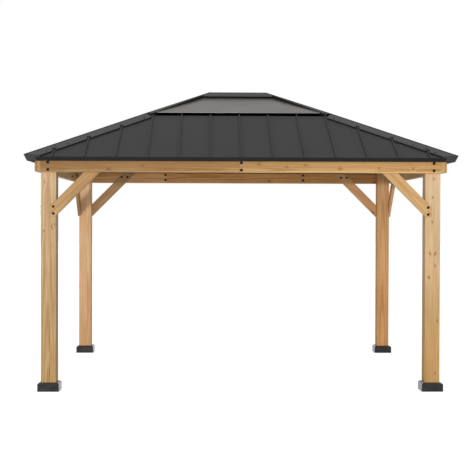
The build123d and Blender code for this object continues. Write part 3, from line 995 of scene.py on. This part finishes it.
@dataclass(frozen=True)
class TimberFrame:
    """Posts, double beams and knee braces."""

    finish: CedarFinish = CedarFinish()
    knot_radius: Pair = (0.006, 0.013)
    knot_stretch: Pair = (1.3, 2.4)
    knot_strength: float = 0.8
    knots_per_metre: float = 1.5
    scatter_seed: int = 1000
    beam_knot: Triple = (0.009, 0.014, 0.75)
    right_knot: Triple = (0.007, 0.012, 0.8)
    left_knot: Triple = (0.007, 0.013, 0.6)
    check_width: float = 0.0035
    check_strength: float = 0.8
    # Tones set to how bright each timber looks under the lamps: partly board-to-board variation, partly
    # painted light. The paler back posts, back-right brace and inner boards make up for the light that falls
    # off towards the back and under the roof.
    post_feet: tuple[Tone, ...] = (
        Tone(175, 143, 98), Tone(181, 144, 92), Tone(209, 156, 100), Tone(216, 172, 127))
    post_heads: tuple[Tone, ...] = (
        Tone(187, 159, 125), Tone(208, 181, 145), Tone(213, 166, 116), Tone(236, 195, 154))
    brace_tones: tuple[Tone, ...] = (
        Tone(171, 138, 96), Tone(194, 159, 111), Tone(217, 168, 122), Tone(178, 143, 100))
    outer_boards: tuple[Tone, ...] = (Tone(161, 123, 77), Tone(172, 134, 86))
    # Painted light: the front beam's tone ramps paler towards the right.
    front_light_ramp: float = 0.22
    # Painted light: the left ends are darker because the light grows to the right.
    left_end: Tone = Tone(151, 115, 72)
    other_end: Tone = Tone(180, 140, 88)
    inner_boards: tuple[Tone, ...] = (Tone(228, 178, 123), Tone(213, 157, 101), Tone(206, 150, 91))
    side_boards: tuple[Tone, ...] = (Tone(244, 212, 162), Tone(226, 187, 137), Tone(208, 164, 114))

    def front_marks(self) -> dict[str, tuple[Mark, ...]]:
        """Knots and checks that show on the timbers nearest to the viewer.

        Returns:
            Marks by node.
        """
        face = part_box("beam_front_outer")[0].y
        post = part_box("post_front_left")[0].y
        beam = ((-0.907, 2.084), (-1.222, 2.045), (0.160, 2.104), (0.414, 2.076), (0.590, 2.095),
                (0.909, 2.062), (1.269, 2.070), (1.584, 2.058))
        right = ((1.786, 1.975), (1.775, 1.801), (1.773, 1.573), (1.750, 1.286), (1.757, 1.273),
                 (1.805, 1.286), (1.798, 1.273), (1.800, 1.169), (1.741, 1.064), (1.748, 1.056),
                 (1.822, 0.657), (1.804, 0.170))
        left = ((-1.820, 1.934), (-1.750, 1.521), (-1.717, 1.544), (-1.815, 1.483))
        checks = ((-1.767, 0.466, 0.105), (-1.766, 0.180, 0.095))
        marks = {
            "beam_front_outer": [Mark((x, face, z), *self.beam_knot) for x, z in beam],
            "post_front_right": [Mark((x, post, z), *self.right_knot) for x, z in right],
            "post_front_left": [Mark((x, post, z), *self.left_knot) for x, z in left],
        }
        for x, z, half in checks:
            marks["post_front_left"].append(Mark((x, post, z), self.check_width, half, self.check_strength))
        return {node: tuple(spots) for node, spots in marks.items()}

    def chance_marks(self, timber: Timber) -> tuple[Mark, ...]:
        """Knots scattered over the long faces of a timber.

        Args:
            timber: The timber, whose seed also sets the scatter.

        Returns:
            The knots.
        """
        draw = Random(timber.seed + self.scatter_seed)
        low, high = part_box(timber.node)
        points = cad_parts[timber.node].data.vertices
        spots = []
        for _ in range(max(1, round((high - low).length * self.knots_per_metre))):
            first, second = (points[draw.randrange(len(points))].co for _ in range(2))
            centre = first.lerp(second, draw.random())
            radius = draw.uniform(*self.knot_radius)
            length = radius * draw.uniform(*self.knot_stretch)
            spots.append(Mark(tuple(centre), radius, length, self.knot_strength))
        return tuple(spots)

    def timbers(self) -> list[Timber]:
        """Every timber with its grain, tones and marks.

        Returns:
            The timbers.
        """
        rows = []
        for corner, foot, head, brace in zip(Corner, self.post_feet, self.post_heads, self.brace_tones):
            sx, sy = corner.value
            rows.append(Timber(f"post_{corner.label}", UP, (foot,), len(rows), head=head))
            rows.append(Timber(f"brace_{corner.label}_x", (-sx, 0, 1), (brace,), len(rows)))
            rows.append(Timber(f"brace_{corner.label}_y", (0, -sy, 1), (brace,), len(rows)))
        for side in Side:
            line = BeamLine.from_frame(side)
            middle = -line.outer_joint if side is Side.BACK else line.outer_joint
            end = self.left_end if side is Side.LEFT else self.other_end
            # Painted light: only the front beam gets the tone ramp.
            light_ramp = self.front_light_ramp if side is Side.FRONT else 0.0
            # Every outer board gets a painted highlight along its edges.
            rows.append(Timber(f"beam_{side.label}_outer", side.axis, self.outer_boards, len(rows), (middle,),
                               end=end, painted_edge_light=True, light_ramp=light_ramp))
            inner = self.inner_boards if side.along_x else self.side_boards
            joints = (-line.inner_joint, line.inner_joint)
            rows.append(Timber(f"beam_{side.label}_inner", side.axis, inner, len(rows), joints, end=end))
        shown = self.front_marks()
        return [replace(row, marks=shown.get(row.node) or self.chance_marks(row)) for row in rows]

    def dress(self) -> None:
        """Give every timber its wood."""
        for timber in self.timbers():
            dress(timber.node, self.finish.material(timber))


@dataclass(frozen=True)
class HipRoof:
    """Steel sheets, trims, caps and crown, with cap ends, cap screws and a black strip under the crown that
    paints the shade beneath its lip.
    """

    screw: FastenerShape = FastenerShape(0.0080, 0.0020, 0.0055, 0.0035, washer_points=20)
    slope: float = math.radians(24.5)
    eave_height: float = 2.16011
    cap_ridge_height: float = 0.0233
    cap_edge_height: float = 0.0110
    cap_half_width: float = 0.097
    screw_inset: float = 0.026
    screw_runs: tuple[float, ...] = (0.085, 0.260, 0.930)
    end_width: float = 0.092
    end_thickness: float = 0.001
    end_gap: float = 0.0002
    end_heights: Triple = (-0.0402, 0.0145, 0.0205)
    # Section of the black strip under the crown: painted shade between the crown's lip and the panes.
    shade_strip_section: tuple[Pair, ...] = (
        (0.0684, 2.8794), (0.0740, 2.8772), (0.0740, 2.8920), (0.0684, 2.8920))

    def dress(self) -> None:
        """Give every sheet its coat."""
        panels = ROOF_STEEL.material("roof_panels")
        trims = FASCIA_STEEL.material("roof_trims")
        caps = CAP_STEEL.material("hip_caps")
        for side in Side:
            dress(f"roof_panels_{side.label}", panels)
            dress(f"eave_trim_{side.label}", trims)
        for corner in Corner:
            dress(f"hip_cap_{corner.label}", caps)
        dress("crown_cap", CROWN_STEEL.material("crown_cap"))

    @staticmethod
    def plan_halves() -> Pair:
        """Half sizes of the roof in plan at the top of the fascia."""
        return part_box("eave_trim_right")[1].x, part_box("eave_trim_back")[1].y

    def screw_seats(self, corner: Corner) -> list[Matrix]:
        """Screws along both wings of one lower hip cap.

        Args:
            corner: Corner that the hip starts from.

        Returns:
            Places of the screws.
        """
        sx, sy = corner.value
        half_x, half_y = self.plan_halves()
        reach = self.cap_half_width * math.sqrt(2)
        aside = reach - self.screw_inset * math.sqrt(2)
        fall = (self.cap_ridge_height - self.cap_edge_height) / reach / math.cos(self.slope)
        climb = math.tan(self.slope) + fall
        seats = []
        for run in self.screw_runs:
            height = self.eave_height + run * math.tan(self.slope)
            height += self.cap_ridge_height / math.cos(self.slope) - fall * aside
            on_x_side = Vector((sx * (half_x - run - aside), sy * (half_y - run), height))
            on_y_side = Vector((sx * (half_x - run), sy * (half_y - run - aside), height))
            normals = ((-sx * fall, sy * climb, 1), (sx * climb, -sy * fall, 1))
            for point, up in zip((on_x_side, on_y_side), normals):
                turn = Vector(UP).rotation_difference(Vector(up)).to_matrix().to_4x4()
                seats.append(Matrix.Translation(point) @ turn)
        return seats

    def add_cap_end(self, mesh: BMesh, corner: Corner, on_x: bool) -> None:
        """Add the end of a hip cap, folded down over one fascia.

        Args:
            mesh: Mesh to add to.
            corner: Corner that the hip starts from.
            on_x: Whether the fascia runs along X.
        """
        sx, sy = corner.value
        half_x, half_y = self.plan_halves()
        bottom, inner_top, corner_top = self.end_heights
        outline = ((0.0, bottom), (self.end_width, bottom), (self.end_width, inner_top), (0.0, corner_top))
        layers = []
        for out in (self.end_gap, self.end_gap + self.end_thickness):
            layer = []
            for along, rise in outline:
                inward = -out * math.cos(self.slope) - rise * math.sin(self.slope)
                height = self.eave_height - out * math.sin(self.slope) + rise * math.cos(self.slope)
                x = half_x - inward - (along if on_x else 0.0)
                y = half_y - inward - (0.0 if on_x else along)
                layer.append(mesh.verts.new((sx * x, sy * y, height)))
            layers.append(layer)
        back, front = layers
        mesh.faces.new(front)
        mesh.faces.new(list(reversed(back)))
        bridge(mesh, back, front)

    def build(self) -> None:
        """Add the cap ends and screws of every hip, and the black strip under the crown that paints the shade
        there.
        """
        screws = BOLT_STEEL.material("cap_screws")
        ends = END_STEEL.material("cap_ends")
        for corner in Corner:
            mesh = bmesh.new()
            for seat in self.screw_seats(corner):
                self.screw.stamp(mesh, seat)
            add_piece(f"cap_screws_{corner.label}", mesh, screws)
            mesh = bmesh.new()
            for on_x in (True, False):
                self.add_cap_end(mesh, corner, on_x)
            add_piece(f"cap_ends_{corner.label}", mesh, ends)
        self.build_shade_strip()

    def build_shade_strip(self) -> None:
        """Add the black strip under the crown's lip, a seal whose black paints the shade between the crown
        and the panes.
        """
        half = ridge_half()
        signs = [corner.value for corner in Corner]
        mesh = bmesh.new()
        rings = []
        for width, height in self.shade_strip_section:
            rings.append([mesh.verts.new((sx * (half + width), sy * width, height)) for sx, sy in signs])
        for ring, next_ring in zip(rings, rings[1:] + rings[:1]):
            bridge(mesh, ring, next_ring)
        add_piece("crown_shade_strip", mesh, SHADE_BLACK_STEEL.material("crown_shade_strip"))


@dataclass(frozen=True)
class RoofFrame:
    """Steel under the sheet: rafters, purlins, brackets, ridge block and foot plates."""

    nodes: tuple[str, ...] = ("hip_rafters", "common_rafters", "skylight_purlins", "rafter_brackets",
                              "ridge_block", "foot_plates")

    def dress(self) -> None:
        """Give the hidden steel its coat."""
        material = FRAME_STEEL.material("frame_steel")
        for node in self.nodes:
            dress(node, material)


@dataclass(frozen=True)
class Skylight:
    """Tinted panes on a black sill, whose black paints the shade in the gap under the panes' foot."""

    pane: PaneFinish = PaneFinish()

    def dress(self) -> None:
        """Give the panes their tint and the sill its near-black coat, which paints the shade under the panes'
        foot.
        """
        for side in Side:
            dress(f"skylight_pane_{side.label}", self.pane.material(f"tinted_pane_{side.label}", side.axis))
        dress("skylight_sill", SHADE_BLACK_STEEL.material("skylight_sill"))


@dataclass(frozen=True)
class FootCovers:
    """Charcoal covers around the feet of the posts."""

    finish: PlasticFinish = PlasticFinish()

    def dress(self) -> None:
        """Give the covers their plastic."""
        material = self.finish.material("cover_plastic")
        for corner in Corner:
            dress(f"base_cover_{corner.label}", material)


@dataclass(frozen=True)
class SoftLamp:
    """Soft box aimed at a point."""

    name: str
    place: Triple
    width: float
    height: float
    power: float
    aim: Triple = (0.0, 0.0, 1.3)

    def build(self) -> None:
        """Add the lamp."""
        data = bpy.data.lights.new(self.name, "AREA")
        data.shape = "RECTANGLE"
        data.size = self.width
        data.size_y = self.height
        data.energy = self.power
        lamp = add_object(self.name, data)
        lamp.location = self.place
        lamp.rotation_euler = (Vector(self.aim) - Vector(self.place)).to_track_quat("-Z", "Y").to_euler()


@dataclass(frozen=True)
class Studio:
    """Pale floor, white surround, soft lamps and the camera."""

    floor_radius: float = 60.0
    floor_points: int = 96
    floor_tone: Tone = Tone(236, 236, 236)
    floor_spread: float = 0.02
    floor_figure: Figure = Figure(6, 3, 0.5)
    floor_roughness: float = 0.9
    floor_lift: float = 0.74
    ambient: float = 0.50
    camera_place: Triple = (-0.2795, -11.7245, 1.6051)
    camera_turn: Triple = (89.2749, -0.1613, -1.0892)
    camera_lens: float = 85.449
    camera_reach: float = 500.0
    lamps: tuple[SoftLamp, ...] = (
        SoftLamp("key", (-0.75, -13.0, 2.05), 0.20, 0.20, 560.0),
        SoftLamp("fill", (0.0, -26.0, 1.1), 9.0, 2.0, 1400.0),
        SoftLamp("side", (-10.0, -12.0, 4.0), 3.0, 3.0, 220.0),
    )

    def floor(self) -> None:
        """Add the floor, which shows white in the light and keeps a soft shadow."""
        mesh = bmesh.new()
        bmesh.ops.create_circle(mesh, cap_ends=True, radius=self.floor_radius, segments=self.floor_points)
        data = bpy.data.meshes.new("studio_floor")
        mesh.to_mesh(data)
        mesh.free()
        tree = ShaderTree("studio_floor")
        grain = tree.noise(tree.place(), self.floor_figure)
        dark, pale = (self.floor_tone.linear(1 + sign * self.floor_spread) for sign in (-1, 1))
        tree.put("Base Color", tree.mix(grain, dark, pale))
        tree.put("Roughness", self.floor_roughness)
        tree.put("Specular IOR Level", 0.0)
        tree.put("Emission Color", WHITE)
        tree.put("Emission Strength", tree.math("MULTIPLY", tree.seen_mask(), self.floor_lift))
        data.materials.append(tree.material)
        floor = add_object("studio_floor", data)

    def surround(self) -> None:
        """White for the eye and in reflections, softer as a light."""
        world = bpy.data.worlds.new("studio")
        bpy.context.scene.world = world
        world.use_nodes = True
        tree = NodeTree(world.node_tree)
        mix = tree.node("ShaderNodeMixShader")
        tree.feed(mix.inputs[0], tree.seen_mask())
        for socket, strength in zip(mix.inputs[1:], (self.ambient, 1.0)):
            light = tree.node("ShaderNodeBackground")
            light.inputs["Color"].default_value = WHITE
            light.inputs["Strength"].default_value = strength
            tree.feed(socket, light.outputs[0])
        tree.feed(tree.node("ShaderNodeOutputWorld").inputs["Surface"], mix.outputs[0])

    def camera(self) -> None:
        """Add the camera at the photograph's viewpoint."""
        data = bpy.data.cameras.new("camera")
        data.lens = self.camera_lens
        data.clip_end = self.camera_reach
        camera = add_object("camera", data)
        camera.location = self.camera_place
        camera.rotation_euler = Euler([math.radians(angle) for angle in self.camera_turn])
        bpy.context.scene.camera = camera

    def build(self) -> None:
        """Set the whole stage."""
        bpy.context.scene.view_settings.view_transform = "Standard"
        self.floor()
        self.surround()
        for lamp in self.lamps:
            lamp.build()
        self.camera()
        LOG.info("stage set with %d lamps", len(self.lamps))


def main() -> None:
    """Dress the frame, add the fasteners, cap ends and the black strip that paints the shade under the crown,
    and set the stage.
    """
    logging.basicConfig(level=logging.INFO, format="%(name)s: %(message)s")
    TimberFrame().dress()
    FrameBolts().build()
    roof = HipRoof()
    roof.dress()
    roof.build()
    RoofFrame().dress()
    Skylight().dress()
    FootCovers().dress()
    Studio().build()


if __name__ == "__main__":
    main()
